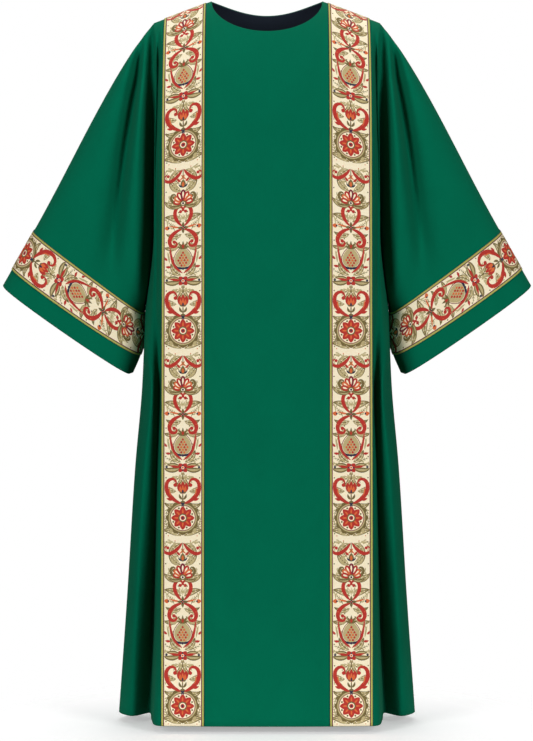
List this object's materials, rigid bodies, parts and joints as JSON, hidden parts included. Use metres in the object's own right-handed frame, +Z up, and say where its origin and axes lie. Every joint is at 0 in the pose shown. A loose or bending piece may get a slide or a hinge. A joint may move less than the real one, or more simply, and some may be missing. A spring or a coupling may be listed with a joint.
{
  "type": "dalmatic",
  "caption": "Deacon's dalmatic, filled out as worn: hollow body with side folds, wide sleeves, round neck, and woven orphrey bands down the panels and round the sleeves.",
  "frame": {"origin": "midway between the shoulders, at the height where they carry the cloth", "axes": "+Z up along the wearer's height, -Y to the front of the garment, +X to the viewer's right"},
  "size_m": [0.984, 0.3, 1.3351],
  "materials": {
    "green_cloth": "fine twill with a dull sheen",
    "galloon": "woven jacquard galloon, cream ground",
    "navy_lining": "smooth dark lining cloth"
  },
  "bodies": {
    "root": {"front": "green_cloth", "back": "green_cloth", "sleeve_left": "green_cloth", "sleeve_right": "green_cloth", "orphrey_left": "galloon", "orphrey_right": "galloon", "sleeve_band_left": "galloon", "sleeve_band_right": "galloon", "neck_facing": "navy_lining"}
  },
  "joints": []
}
